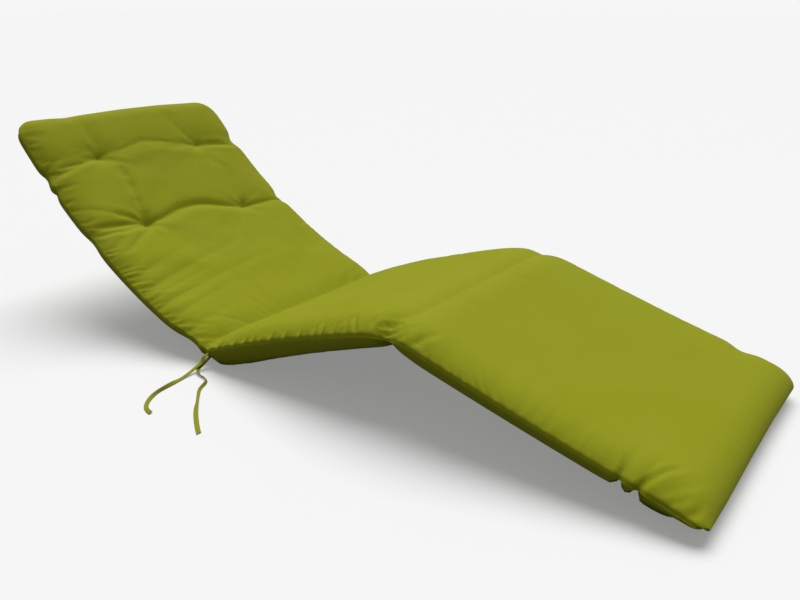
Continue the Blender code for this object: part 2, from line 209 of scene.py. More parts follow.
# Single folds in the top panel: (along, across) to (along, across), depth at each end, half width.
FOLDS = (
    # Between the two near tufts, bowed to the middle.
    (0.140, -0.144, 0.166, -0.120, 0.0036, 0.0040, 0.011),
    (0.166, -0.120, 0.195, -0.118, 0.0040, 0.0044, 0.011),
    (0.195, -0.118, 0.240, -0.124, 0.0044, 0.0048, 0.011),
    (0.240, -0.124, 0.290, -0.138, 0.0048, 0.0054, 0.011),
    (0.290, -0.138, 0.347, -0.147, 0.0054, 0.0064, 0.011),
    # From the near tuft of the first row to the head and to the near edge.
    (0.132, -0.150, 0.098, -0.205, 0.0030, 0.0008, 0.011),
    (0.128, -0.146, 0.020, -0.138, 0.0026, 0.0008, 0.018),
    (0.134, -0.150, 0.146, -0.205, 0.0050, 0.0044, 0.007),
    (0.146, -0.205, 0.150, -0.266, 0.0044, 0.0030, 0.007),
    (0.148, -0.190, 0.166, -0.285, 0.0020, 0.0046, 0.007),
    (0.132, -0.268, 0.146, -0.296, 0.0010, 0.0050, 0.005),
    # From the far tuft of the first row.
    (0.148, 0.143, 0.132, 0.100, 0.0026, 0.0008, 0.008),
    (0.142, 0.150, 0.118, 0.192, 0.0020, 0.0005, 0.009),
    (0.138, 0.146, 0.080, 0.158, 0.0014, 0.0004, 0.011),
    (0.148, 0.152, 0.166, 0.262, 0.0034, 0.0030, 0.008),
    # The fan from the near tuft of the second row.
    (0.342, -0.152, 0.312, -0.205, 0.0052, 0.0036, 0.008),
    (0.312, -0.205, 0.284, -0.256, 0.0036, 0.0012, 0.008),
    (0.346, -0.158, 0.333, -0.272, 0.0050, 0.0024, 0.0065),
    (0.352, -0.156, 0.362, -0.228, 0.0046, 0.0036, 0.007),
    (0.362, -0.228, 0.350, -0.290, 0.0036, 0.0030, 0.006),
    (0.358, -0.142, 0.414, -0.235, 0.0034, 0.0008, 0.009),
    (0.344, -0.140, 0.300, -0.085, 0.0024, 0.0004, 0.010),
    # From the far tuft of the second row.
    (0.368, 0.152, 0.395, 0.235, 0.0036, 0.0010, 0.009),
    (0.366, 0.152, 0.340, 0.220, 0.0030, 0.0008, 0.009),
    # Long slack folds over the lower back.
    (0.500, -0.295, 0.440, -0.060, 0.0022, 0.0004, 0.008),
    (0.544, -0.298, 0.474, 0.060, 0.0034, 0.0006, 0.010),
    (0.573, -0.294, 0.520, -0.040, 0.0020, 0.0003, 0.007),
    (0.598, -0.296, 0.547, 0.083, 0.0038, 0.0006, 0.010),
    (0.642, -0.295, 0.604, -0.070, 0.0026, 0.0004, 0.008),
    (0.690, -0.290, 0.670, -0.140, 0.0020, 0.0004, 0.008),
    # The knot where the knee is nipped.
    (1.158, -0.262, 1.180, -0.298, 0.0040, 0.0072, 0.0036),
    (1.204, -0.270, 1.220, -0.297, 0.0030, 0.0074, 0.0036),
    (1.222, -0.280, 1.252, -0.266, 0.0110, 0.0050, 0.0042),
    (1.232, -0.293, 1.262, -0.286, 0.0100, 0.0050, 0.0040),
    (1.262, -0.286, 1.280, -0.258, 0.0050, 0.0012, 0.0048),
    (1.270, -0.300, 1.276, -0.282, 0.0110, 0.0040, 0.0042),
    (1.296, -0.299, 1.320, -0.244, 0.0056, 0.0008, 0.0060),
    # The pinches near the foot.
    (LENGTH - 0.142, -0.262, LENGTH - 0.132, -0.299, 0.0010, 0.0080, 0.0042),
    (LENGTH - 0.086, -0.258, LENGTH - 0.101, -0.299, 0.0040, 0.0092, 0.0038),
    (LENGTH - 0.068, -0.222, LENGTH - 0.086, -0.258, 0.0006, 0.0040, 0.0042),
    (LENGTH - 0.040, -0.272, LENGTH - 0.056, -0.299, 0.0012, 0.0064, 0.0044),
    (LENGTH - 0.022, -0.276, LENGTH - 0.032, -0.299, 0.0016, 0.0072, 0.0044),
)
# The low ridge beside a fold: its height against the depth, its place and half width against the half width.
FOLD_RIDGE = 0.32
FOLD_RIDGE_AT = 2.2
FOLD_RIDGE_WIDTH = 1.1
# How pointed the bottom of a sewn or folded valley is.
VALLEY_POINT = 1.25

# Gathers along an edge: (from, to, side, how many, depth, reach from the seam, half width, lean).
GATHERS = (
    (0.060, 0.330, -1, 11, 0.0014, 0.020, 0.0038, 0.3),
    (0.380, CREASE - 0.030, -1, 21, 0.0020, 0.024, 0.0038, 0.5),
    (0.200, CREASE - 0.030, +1, 18, 0.0006, 0.016, 0.0040, 0.2),
    (CREASE + 0.018, KNEE - 0.020, -1, 13, 0.0012, 0.030, 0.0040, 0.2),
    (CREASE + 0.030, KNEE - 0.035, +1, 12, 0.0005, 0.016, 0.0040, 0.1),
    (KNEE + 0.030, KNEE + 0.250, -1, 11, 0.0020, 0.036, 0.0044, -0.9),
    (KNEE + 0.250, LENGTH - 0.140, -1, 9, 0.0008, 0.018, 0.0040, -0.4),
    (LENGTH - 0.070, LENGTH - 0.010, -1, 3, 0.0012, 0.020, 0.0044, 0.1),
)

# How unlike each other the gathers are: shares of their spacing, depth, reach and half width, and their lean.
GATHER_SEED = 11
GATHER_PLACES = 0.38
GATHER_DEPTHS = (0.35, 1.25)
GATHER_REACHES = (0.55, 1.5)
GATHER_WIDTHS = (0.75, 1.35)
GATHER_LEANS = 0.25
# The ridge beside a gather: its height against the depth, its place and half width against the half width.
GATHER_RIDGE = 0.6
GATHER_RIDGE_AT = 1.9
GATHER_RIDGE_WIDTH = 1.3
# The share of its reach that a gather runs at full depth, how fast it fades then, and how far down.
GATHER_FULL = 0.35
GATHER_TAIL = 0.9
GATHER_DOWN = 0.35
# How far along from a gather the cloth still feels it, and the share of its depth that goes inward too.
GATHER_SPAN = 0.06
GATHER_IN = 0.3

# The strong pleats along the seat's near edge: (along, depth, reach from the seam, half width, lean).
PLEATS = (
    (0.789, 0.0041, 0.046, 0.0056, 0.17),
    (0.812, 0.0019, 0.030, 0.0040, 0.14),
    (0.841, 0.0041, 0.050, 0.0050, 0.10),
    (0.874, 0.0046, 0.054, 0.0054, 0.07),
    (0.899, 0.0030, 0.040, 0.0043, 0.14),
    (0.926, 0.0022, 0.034, 0.0040, 0.03),
    (0.953, 0.0046, 0.050, 0.0054, 0.07),
    (0.974, 0.0016, 0.026, 0.0038, 0.14),
    (0.995, 0.0035, 0.044, 0.0049, -0.03),
    (1.033, 0.0043, 0.046, 0.0045, 0.00),
    (1.050, 0.0019, 0.026, 0.0038, 0.07),
    (1.072, 0.0035, 0.040, 0.0043, -0.07),
    (1.093, 0.0046, 0.046, 0.0041, -0.10),
    (1.125, 0.0027, 0.034, 0.0041, -0.14),
    (1.154, 0.0022, 0.026, 0.0038, -0.21),
)

# The seam along each side: how far it pulls the edge down and in, and the half width of that pull.
SEAM_DOWN = 0.0016
SEAM_IN = 0.0022
SEAM_HALF_WIDTH = 0.0024
# The share of the border's height over which the seam's pull inward fades.
SEAM_WALL = 0.10
# How much less a gather takes at the seam itself, and how far from it.
SEAM_HOLD = 0.88
SEAM_HOLD_REACH = 0.009

# The mesh of the slab before it is divided: distances between its columns and between its rows.
COLUMN_STEPS = (0.0066, 0.0051, 0.0068)
ROW_STEP = 0.0130
FINE_STEP = 0.0030
FINE_REACH = 0.015
WALL_ROWS = 4
# Height of the border cloth on the cloth map.
BORDER_CLOTH = 0.045

# The panel that is simulated as cloth, and how much of its puckers stays:
# (along, share inside, near side, far side).
PANEL_STEP = 0.0070
# Forms longer than this many steps aren't puckers. The side's share holds within this reach of the edge.
PUCKER_STEPS = 9
SIDE_REACH = 0.060
# The underside's puckers against the top's.
UNDER_PUCKERS = 0.8
PUCKERS_KEPT = (
    (0.000, 0.25, 0.55, 0.25),
    (0.140, 0.30, 0.60, 0.30),
    (0.400, 0.40, 0.60, 0.30),
    (CREASE - 0.150, 0.45, 0.70, 0.25),
    (CREASE + 0.080, 0.40, 0.60, 0.25),
    (KNEE - 0.120, 0.18, 0.50, 0.15),
    (KNEE + 0.040, 0.20, 0.45, 0.15),
    (KNEE + 0.150, 0.10, 0.35, 0.12),
    (LENGTH - 0.180, 0.06, 0.25, 0.10),
    (LENGTH - 0.040, 0.10, 0.40, 0.15),
)

# The tapes. Each route is the solid's own, and lies on the floor.
STRAIGHT_ROUTE = (
    (-0.2016, -0.2897, 0.0328),
    (-0.2034, -0.2944, 0.0307),
    (-0.2050, -0.2984, 0.0288),
    (-0.2055, -0.3074, 0.0179),
    (-0.2068, -0.3190, 0.0119),
    (-0.2074, -0.3360, 0.0064),
    (-0.2047, -0.3620, 0.0022),
    (-0.2006, -0.3842, 0.0012),
    (-0.1976, -0.4023, 0.0012),
    (-0.1954, -0.4172, 0.0012),
    (-0.1929, -0.4302, 0.0012),
    (-0.1884, -0.4445, 0.0012),
    (-0.1814, -0.4600, 0.0012),
    (-0.1717, -0.4740, 0.0012),
    (-0.1588, -0.4856, 0.0012),
    (-0.1451, -0.4924, 0.0012),
    (-0.1327, -0.4957, 0.0012),
)
WAVY_ROUTE = (
    (-0.2006, -0.2856, 0.0252),
    (-0.2022, -0.2895, 0.0222),
    (-0.2037, -0.2932, 0.0193),
    (-0.2064, -0.3047, 0.0114),
    (-0.2045, -0.3167, 0.0083),
    (-0.1972, -0.3256, 0.0050),
    (-0.1843, -0.3309, 0.0028),
    (-0.1688, -0.3338, 0.0018),
    (-0.1560, -0.3396, 0.0012),
    (-0.1474, -0.3496, 0.0012),
    (-0.1412, -0.3633, 0.0012),
    (-0.1340, -0.3763, 0.0012),
    (-0.1208, -0.3910, 0.0012),
    (-0.1026, -0.4087, 0.0012),
    (-0.0829, -0.4288, 0.0012),
    (-0.0633, -0.4467, 0.0012),
    (-0.0398, -0.4656, 0.0012),
    (-0.0194, -0.4808, 0.0012),
    (-0.0015, -0.4930, 0.0012),
)
# How each tape is turned about its own line: (share of its length, degrees from lying flat).
STRAIGHT_TURNS = (
    (0.00, 0),
    (0.12, 10),
    (0.30, -15),
    (0.48, 55),
    (0.62, 70),
    (0.74, 20),
    (0.88, -10),
    (1.00, -25),
)
WAVY_TURNS = (
    (0.00, 0),
    (0.10, 15),
    (0.26, 60),
    (0.36, 65),
    (0.50, 10),
    (0.58, -50),
    (0.68, -10),
    (1.00, 8),
)
# How wide each tape is against its full width: (share of its length, share of its width).
STRAIGHT_WIDTHS = ((0.0, 1.0), (0.45, 0.95), (0.60, 0.80), (0.80, 0.95), (1.0, 1.0))
WAVY_WIDTHS = ((0.0, 1.0), (0.20, 0.80), (0.45, 0.75), (0.58, 0.70), (0.68, 1.0), (1.0, 1.0))
TAPE_STATION = 0.003
# A tape below this height is laid on the floor, by degrees. Its end is cut askew over so many stations.
TAPE_LAID_BELOW = 0.012
TAPE_LAID_CHANGE = 0.010
TAPE_OFF_FLOOR = 0.0002
TAPE_LOWEST = 0.00015
TAPE_CUT_STATIONS = 4

# The woven cloths: threads per metre, how uneven the colour is, and the height of the weave.
COVER_CLOTH = (1400.0, 0.26, 0.0004)
TAPE_CLOTH = (1600.0, 0.20, 0.0003)

# The studio: the floor's size, what it throws back on the cushion, how much it shines to the eye alone, and
# how bright the backdrop looks.
FLOOR_SIZE = 80
FLOOR_BOUNCE = 0.20
FLOOR_GLOW = 0.25
BACKDROP = 0.92
OVERHEAD_PLACE = (-0.42, 0.80, 2.6)
CAMERA_PLACE = (1.0553, -1.3292, 0.7305)
CAMERA_TURN = (69.90, 0.0, 36.19)
CAMERA_SENSOR = 36
CAMERA_LENS = 37.06


class CoverSettings(bpy.types.PropertyGroup):
    """The filled cover of the cushion."""

    colour: FloatVectorProperty(
        name="Cloth colour",
        description="Colour of the woven cover",
        subtype="COLOR",
        size=3,
        min=0.0,
        max=1.0,
        default=(0.292, 0.314, 0.009),
    )
    pressure: FloatProperty(
        name="Filling pressure",
        description="How hard the filling pushes the top panel out in the cloth simulation",
        default=4.0,
        min=0.0,
        max=20.0,
    )
    ease: FloatProperty(
        name="Ease",
        description="How much longer the panel is than the seams that hold it, as a share",
        subtype="FACTOR",
        default=0.035,
        min=0.0,
        max=0.2,
    )
    steps: IntProperty(
        name="Simulated frames",
        description="Frames of the cloth simulation",
        default=20,
        min=1,
        max=60,
    )
    cap: FloatProperty(
        name="Pucker limit",
        description="The furthest that the simulation may move the cloth off the solid's form",
        subtype="DISTANCE",
        unit="LENGTH",
        default=0.006,
        min=0.0,
        max=0.03,
    )


class TapeSettings(bpy.types.PropertyGroup):
    """The two tie tapes."""

    colour: FloatVectorProperty(
        name="Tape colour",
        description="Colour of the folded tapes",
        subtype="COLOR",
        size=3,
        min=0.0,
        max=1.0,
        default=(0.270, 0.285, 0.012),
    )
    width: FloatProperty(
        name="Tape width",
        description="Width of the folded tape",
        subtype="DISTANCE",
        unit="LENGTH",
        default=0.009,
        min=0.004,
        max=0.03,
    )
    thickness: FloatProperty(
        name="Tape thickness",
        description="Thickness of the folded tape",
        subtype="DISTANCE",
        unit="LENGTH",
        default=0.0016,
        min=0.0005,
        max=0.005,
    )


class StudioSettings(bpy.types.PropertyGroup):
    """The floor, the lights and the camera."""

    floor_colour: FloatVectorProperty(
        name="Floor colour",
        description="Colour of the studio floor",
        subtype="COLOR",
        size=3,
        min=0.0,
        max=1.0,
        default=(0.64, 0.64, 0.64),
    )
    overhead: FloatProperty(
        name="Overhead light",
        description="Strength of the broad soft light above the cushion",
        default=3.06,
        min=0.0,
    )
    softness: FloatProperty(
        name="Softness",
        description="How broad the overhead light looks from the cushion",
        subtype="ANGLE",
        unit="ROTATION",
        default=math.radians(55),
        min=0.0,
        max=math.pi,
    )
    surround: FloatProperty(
        name="Surround",
        description="Strength of the even light from all round",
        default=0.13,
        min=0.0,
    )


def table_value(table, along, column):
    """Values read from a table whose first column is the distance from the head."""
    return np.interp(along, [row[0] for row in table], [row[column] for row in table])


def smoothing(spread):
    """The shares that each neighbour has in a smoothed value, where spread is in steps."""
    reach = np.arange(-3 * spread, 3 * spread + 1)
    kernel = np.exp(-((reach / spread) ** 2) / 2)
    return kernel / kernel.sum()


def eased_tables(table, columns, spread=7, step=0.002):
    """The table's columns with their corners eased, as cloth bends, read as finely as the mesh needs."""
    along = np.arange(-0.06, LENGTH + 0.06, step)
    kernel = smoothing(spread)
    half = len(kernel) // 2
    eased = []
    for column in columns:
        values = table_value(table, along, column)
        padded = np.pad(values, half, mode="edge")
        eased.append(np.convolve(padded, kernel, mode="valid")[: len(along)])
    return along, eased


THICKNESS_ALONG, (CROWN, UNDERSIDE) = eased_tables(THICKNESS, (1, 2))
BORDER_ALONG, (DROP, SLANT) = eased_tables(BORDER, (1, 2))


def seam_line(step=0.002):
    """The seam line in side view: distances, and the x and z of each, with the crease at its place."""
    along = np.arange(-0.02, LENGTH + 0.02, step)
    slope = np.radians(table_value(SLOPES, along, 1))
    x = np.cumsum(np.cos(slope)) * step
    z = np.cumsum(np.sin(slope)) * step
    x += CREASE_X - np.interp(BACK, along, x)
    z += CREASE_Z - np.interp(BACK, along, z)
    return along, x, z


LINE_ALONG, LINE_X, LINE_Z = seam_line()


def on_line(along, across, height):
    """Points at those distances from the head, across the cushion, and square to the seam line."""
    slope = np.radians(table_value(SLOPES, along, 1))
    x = np.interp(along, LINE_ALONG, LINE_X)
    z = np.interp(along, LINE_ALONG, LINE_Z)
    return np.stack((x - height * np.sin(slope), across, z + height * np.cos(slope)), axis=-1)


def bell(distance, half_width):
    """One at the middle, falling smoothly to nothing."""
    return np.exp(-((distance / half_width) ** 2))


def dip(distance, half_width):
    """One at the middle, with a sharper bottom than a bell, as where cloth is sewn down."""
    return np.exp(-np.abs(distance / half_width) ** VALLEY_POINT)


def roll(distance, radius, steepness=ROLL_STEEPNESS):
    """How far a rounded edge has risen at a distance from its seam, from 0 to 1."""
    left = 1 - np.clip(distance / radius, 0, 1)
    return np.maximum(1 - left**ROLL_FULLNESS, 0) ** steepness


def nip(along, across, column):
    """What the nips take at these places on the edge: column 2 is inward, 3 downward, 4 of the border."""
    total = np.zeros_like(along)
    for row in NIPS:
        taken = np.where(row[1] * across > 0, row[column] * bell(along - row[0], row[5]), 0)
        total = np.maximum(total, taken)
    return total


def tufts(row):
    """The two tufts of a row, near and far, as places along and across."""
    return (row[0], -TUFT_OFF_CENTRE), (row[1], TUFT_OFF_CENTRE)


def tuft_row_line(row, across):
    """Where a row's valley runs: through its two tufts, and arched towards the head between them."""
    straight = row[0] + (row[1] - row[0]) * (across / TUFT_OFF_CENTRE + 1) / 2
    arch = row[2] * np.cos(math.pi / 2 * np.clip(across / TUFT_OFF_CENTRE, -1, 1)) ** 2
    return straight - arch


def fold_depth(along, across):
    """The single folds: a sharp valley each, with a low ridge beside it."""
    valleys, ridges = np.zeros_like(along), np.zeros_like(along)
    for s0, t0, s1, t1, depth, end_depth, half_width in FOLDS:
        ds, dt = s1 - s0, t1 - t0
        share = ((along - s0) * ds + (across - t0) * dt) / (ds * ds + dt * dt)
        held = np.clip(share, 0, 1)
        off = np.hypot(along - s0 - held * ds, across - t0 - held * dt)
        deep = depth + (end_depth - depth) * held
        valleys = np.maximum(valleys, deep * dip(off, half_width))
        ridge = bell(off - FOLD_RIDGE_AT * half_width, FOLD_RIDGE_WIDTH * half_width)
        ridges = np.maximum(ridges, deep * ridge)
    return valleys - FOLD_RIDGE * ridges


def gather_lines():
    """The short sharp gathers square to the edge seams, each with its own place, lean, length and depth."""
    chance = np.random.default_rng(GATHER_SEED)
    lines = []
    for start, end, side, count, depth, reach, half_width, lean in GATHERS:
        for k in range(count):
            place = start + (end - start) * (k + 0.5 + chance.uniform(-GATHER_PLACES, GATHER_PLACES)) / count
            deep = depth * chance.uniform(*GATHER_DEPTHS)
            long = reach * chance.uniform(*GATHER_REACHES)
            wide = half_width * chance.uniform(*GATHER_WIDTHS)
            lines.append((place, side, deep, long, wide, lean + chance.uniform(-GATHER_LEANS, GATHER_LEANS)))
    return lines + [(place, -1, deep, long, wide, lean) for place, deep, long, wide, lean in PLEATS]


GATHER_LINES = gather_lines()


def gather_depth(along, across, down):
    """How far the gathers take the cloth in: a sharp valley with a small ridge beside each."""
    total = np.zeros_like(along)
    from_seam = HALF - np.abs(across)
    for place, side, depth, reach, half_width, lean in GATHER_LINES:
        near = (side * across > 0) & (np.abs(along - place) < GATHER_SPAN) & (from_seam < 3 * reach)
        off = along[near] - place - lean * from_seam[near]
        ridge = bell(off - GATHER_RIDGE_AT * half_width, GATHER_RIDGE_WIDTH * half_width)
        valley = bell(off, half_width) - GATHER_RIDGE * ridge
        fade = bell(np.maximum(from_seam[near] - GATHER_FULL * reach, 0), GATHER_TAIL * reach)
        fade *= bell(down[near], GATHER_DOWN)
        fade *= 1 - SEAM_HOLD * bell(from_seam[near], SEAM_HOLD_REACH)
        total[near] += depth * valley * fade
    return total


def top_height(along, across):
    """Height of the top panel over the seam."""
    edge = roll(HALF - np.abs(across), EDGE_ROLL) * roll(along, HEAD_ROLL) * roll(LENGTH - along, FOOT_ROLL)
    height = np.interp(along, THICKNESS_ALONG, CROWN) * edge
    for place, depth, half_width, _, _ in CHANNELS:
        bent = KNOT_SHIFT * bell(across + HALF, KNOT_REACH) if place == KNEE else 0
        height -= depth * edge * dip(along - place + bent, half_width)
    for row in TUFT_ROWS:
        inside = np.clip((TUFT_OFF_CENTRE - np.abs(across)) / TUFT_ROW_CHANGE + 0.5, 0, 1)
        depth = row[3] * inside + row[4] * (1 - inside)
        past = along - tuft_row_line(row, across)
        lip = ROW_LIP * inside * bell(past - ROW_LIP_AT, ROW_LIP_HALF)
        height += (lip - depth * dip(past, row[5])) * edge
        for tuft_along, tuft_across in tufts(row):
            off = np.hypot(along - tuft_along, across - tuft_across)
            turn = np.arctan2(across - tuft_across, along - tuft_along)
            star = np.cos(TUFT_FOLDS * turn + TUFT_FOLD_TURN * tuft_along)
            star *= np.clip(off / TUFT_FOLD_START, 0, 1)
            deep = row[6] if tuft_across < 0 else row[7]
            height -= (deep - depth) * dip(off, TUFT_RADIUS * (1 + TUFT_FOLD_SHARE * star))
    height -= fold_depth(along, across) * edge
    return height


def under_depth(along, across):
    """Depth of the underside below the seam: the border's depth at the edge, full in the middle."""
    at_edge = np.interp(along, BORDER_ALONG, DROP) * (1 - nip(along, across, 4))
    full = np.interp(along, THICKNESS_ALONG, UNDERSIDE)
    from_side, from_end = HALF - np.abs(across), np.minimum(along, LENGTH - along)
    edge = roll(from_side, UNDER_ROLL, UNDER_STEEPNESS) * roll(from_end, UNDER_ROLL, UNDER_STEEPNESS)
    edge *= 1 - UNDER_PINCH * nip(along, across, 4) * bell(from_side, UNDER_ROLL)
    depth = at_edge + (full - at_edge) * edge
    for place, _, _, deep, half_width in CHANNELS:
        depth -= deep * edge * dip(along - place, half_width)
    for row in TUFT_ROWS:
        for tuft_along, tuft_across in tufts(row):
            off = np.hypot(along - tuft_along, across - tuft_across)
            depth -= TUFT_DEPTH_BELOW * dip(off, TUFT_RADIUS)
    return depth


def outline(along, across, inward):
    """The places in plan, with the sides nipped, the corners rounded and the edge moved inward."""
    nipped = inward + nip(along, across, 2)
    across = across - np.sign(across) * nipped * np.abs(across / HALF) ** NIP_FADE
    ends_reach = 3 * EDGE_ROLL
    at_head = np.clip(1 - along / EDGE_REACH, 0, None) ** 2
    along = along - table_value(HEAD_EDGE, across, 1) * at_head
    at_foot = np.clip(1 - (LENGTH - along) / EDGE_REACH, 0, None) ** 2
    along = along + table_value(FOOT_EDGE, across, 1) * at_foot
    along = along + inward * np.clip(1 - along / ends_reach, 0, None) ** 2
    along = along - inward * np.clip(1 - (LENGTH - along) / ends_reach, 0, None) ** 2
    moved_along, moved_across = along.copy(), across.copy()
    for (end, side), radius in CORNER_RADII.items():
        p = (end * (along - LENGTH / 2) - (LENGTH / 2 - inward - radius)) / radius
        q = (side * across - (HALF - inward - radius)) / radius
        corner = (p > 0) & (q > 0)
        shorter_along = end * radius * p * (np.sqrt(np.clip(1 - q * q / 2, 0, None)) - 1)
        shorter_across = side * radius * q * (np.sqrt(np.clip(1 - p * p / 2, 0, None)) - 1)
        moved_along += np.where(corner, shorter_along, 0)
        moved_across += np.where(corner, shorter_across, 0)
    return moved_along, moved_across


def cushion_points(flat, puckers=None):
    """Where the points of the flat slab go: level 1 is the top panel, 0 the underside, between the border."""
    along, across, level = flat.T
    top, under = level > 1 - SAME_LEVEL, level < SAME_LEVEL
    down = (1 - level) ** BORDER_CROWDING
    drop = np.interp(along, BORDER_ALONG, DROP)
    inward = np.interp(along, BORDER_ALONG, SLANT) * down - BORDER_BULGE * np.sin(math.pi * down)
    height = -down * drop * (1 - nip(along, across, 4))
    at_side = bell(HALF - np.abs(across), SEAM_HALF_WIDTH)
    height[top] = top_height(along[top], across[top])
    height[under] = -under_depth(along[under], across[under])
    if puckers is not None:
        height[top] += puckers(along[top], across[top])
        height[under] -= UNDER_PUCKERS * puckers(along[under], -across[under])
    gathered = gather_depth(along, across, down)
    height -= np.where(top, gathered + SEAM_DOWN * at_side, 0)
    inward += np.where(under, 0, GATHER_IN * gathered) + SEAM_IN * at_side * bell(down, SEAM_WALL)
    height -= nip(along, across, 3) * np.abs(across / HALF) ** NIP_DIP_FADE
    places = on_line(*outline(along, across, inward), height)
    places[:, 2] = np.maximum(places[:, 2], 0)
    return places


def read_points(thing):
    """The object's vertices as rows of x, y and z."""
    points = np.empty(len(thing.data.vertices) * 3)
    thing.data.vertices.foreach_get("co", points)
    return points.reshape(-1, 3)


def write_points(thing, points):
    """Moves the object's vertices to those rows of x, y and z."""
    thing.data.vertices.foreach_set("co", np.ascontiguousarray(points, dtype=np.float32).ravel())
    thing.data.update()


def deselect_all():
    """Leaves edit mode and deselects every object."""
    if bpy.context.object and bpy.context.object.mode != "OBJECT":
        bpy.ops.object.mode_set(mode="OBJECT")
    bpy.ops.object.select_all(action="DESELECT")


def flat_grid(name, columns, rows):
    """A flat grid with its columns at those distances along and its rows at those across."""
    deselect_all()
    bpy.ops.mesh.primitive_grid_add(x_subdivisions=len(columns) - 1, y_subdivisions=len(rows) - 1, size=1)
    grid = bpy.context.object
    grid.name = grid.data.name = name
    points = read_points(grid)
    column = np.rint((points[:, 0] + 0.5) * (len(columns) - 1)).astype(int)
    row = np.rint((points[:, 1] + 0.5) * (len(rows) - 1)).astype(int)
    places = (np.asarray(columns)[column], np.asarray(rows)[row], np.ones(len(points)))
    write_points(grid, np.stack(places, axis=-1))
    return grid


def spaced(start, end, step, fine_step, fine_reach):
    """Places from start to end, closer together within fine_reach of each end."""
    fine = np.arange(0, fine_reach, fine_step)
    count = max(int(round((end - start - 2 * fine_reach) / step)), 1)
    middle = np.linspace(start + fine_reach, end - fine_reach, count + 1)
    return np.concatenate((start + fine, middle, (end - fine)[::-1]))


def edge_ends(mesh):
    """The two vertices of each edge."""
    ends = np.empty(len(mesh.edges) * 2, dtype=int)
    mesh.edges.foreach_get("vertices", ends)
    return ends.reshape(-1, 2)


def corner_vertices(mesh):
    """The vertex at each corner of each face."""
    corners = np.empty(len(mesh.loops), dtype=int)
    mesh.loops.foreach_get("vertex_index", corners)
    return corners


def select_only(thing, kind, wanted):
    """Selects the faces (FACE) or the edges (EDGE) where wanted is true, and stays in edit mode."""
    bpy.ops.object.mode_set(mode="EDIT")
    bpy.ops.mesh.select_mode(type=kind)
    bpy.ops.mesh.select_all(action="DESELECT")
    bpy.ops.object.mode_set(mode="OBJECT")
    parts = thing.data.polygons if kind == "FACE" else thing.data.edges
    parts.foreach_set("select", wanted)
    bpy.ops.object.mode_set(mode="EDIT")


def divide_uprights(thing, cuts):
    """Cuts the upright edges of a thing that is one unit high."""
    levels = read_points(thing)[edge_ends(thing.data), 2]
    select_only(thing, "EDGE", np.abs(levels[:, 0] - levels[:, 1]) > 0.5)
    bpy.ops.mesh.subdivide(number_cuts=cuts)
    bpy.ops.object.mode_set(mode="OBJECT")


def face_levels(thing):
    """The lowest and the highest level of each face of the flat slab."""
    starts = np.empty(len(thing.data.polygons), dtype=int)
    thing.data.polygons.foreach_get("loop_start", starts)
    at_corners = read_points(thing)[corner_vertices(thing.data), 2]
    return np.minimum.reduceat(at_corners, starts), np.maximum.reduceat(at_corners, starts)


def flat_slab(name):
    """A slab of quads: the top panel and the border finely divided, the underside less so."""
    ends = (0, CREASE, KNEE, LENGTH)
    parts = [spaced(a, b, step, FINE_STEP, FINE_REACH) for a, b, step in zip(ends, ends[1:], COLUMN_STEPS)]
    columns = np.concatenate((parts[0], parts[1][1:], parts[2][1:]))
    rows = spaced(-HALF, HALF, ROW_STEP, FINE_STEP, FINE_REACH)
    slab = flat_grid(name, columns, rows)
    bpy.ops.object.mode_set(mode="EDIT")
    bpy.ops.mesh.select_mode(type="FACE")
    bpy.ops.mesh.select_all(action="SELECT")
    bpy.ops.mesh.extrude_region_move(TRANSFORM_OT_translate={"value": (0, 0, -1)})
    bpy.ops.object.mode_set(mode="OBJECT")
    divide_uprights(slab, WALL_ROWS - 1)
    select_only(slab, "FACE", face_levels(slab)[1] > SAME_LEVEL)
    bpy.ops.mesh.subdivide(number_cuts=1)
    bpy.ops.mesh.select_all(action="SELECT")
    bpy.ops.mesh.normals_make_consistent(inside=False)
    bpy.ops.object.mode_set(mode="OBJECT")
    return slab


def at_rim(places):
    """Which of the flat slab's places are on its outer edge."""
    along, across = places[..., 0], places[..., 1]
    return (np.abs(across) > HALF - SAME_PLACE) | (along < SAME_PLACE) | (along > LENGTH - SAME_PLACE)


def sharpen_seam(slab, flat):
    """Marks the edge of the top panel as sharp, so that the light breaks at the seam."""
    ends = flat[edge_ends(slab.data)]
    on_seam = (ends[:, :, 2] > 1 - SAME_LEVEL).all(axis=1)
    on_seam &= at_rim(ends).all(axis=1) & at_rim(ends.mean(axis=1))
    deselect_all()
    slab.select_set(True)
    bpy.context.view_layer.objects.active = slab
    select_only(slab, "EDGE", on_seam)
    bpy.ops.mesh.mark_sharp()
    bpy.ops.object.mode_set(mode="OBJECT")


def cloth_map(slab, flat):
    """A UV map in metres that runs over the seam and down the border, as the cloth was cut."""
    mesh = slab.data
    totals = np.empty(len(mesh.polygons), dtype=int)
    mesh.polygons.foreach_get("loop_total", totals)
    under = np.repeat(face_levels(slab)[1] < SAME_LEVEL, totals)
    along, across, level = flat[corner_vertices(mesh)].T
    fall = np.where(under, 0, (1 - level) * BORDER_CLOTH)
    past_foot, past_head = along > LENGTH - SAME_PLACE, along < SAME_PLACE
    u = along + fall * (np.where(past_foot, 1, 0) - np.where(past_head, 1, 0))
    v = across + fall * np.where(np.abs(across) > HALF - SAME_PLACE, np.sign(across), 0)
    layer = mesh.uv_layers.new(name="cloth_map")
    layer.data.foreach_set("uv", np.stack((u, v), axis=-1).ravel().astype(np.float32))


def smooth_rows(field, spread, axis):
    """The field smoothed along one axis, with its ends mirrored."""
    kernel = smoothing(spread)
    half = len(kernel) // 2
    pad = [(half, half) if a == axis else (0, 0) for a in range(2)]
    padded = np.pad(field, pad, mode="reflect")
    return np.apply_along_axis(lambda line: np.convolve(line, kernel, mode="valid"), axis, padded)


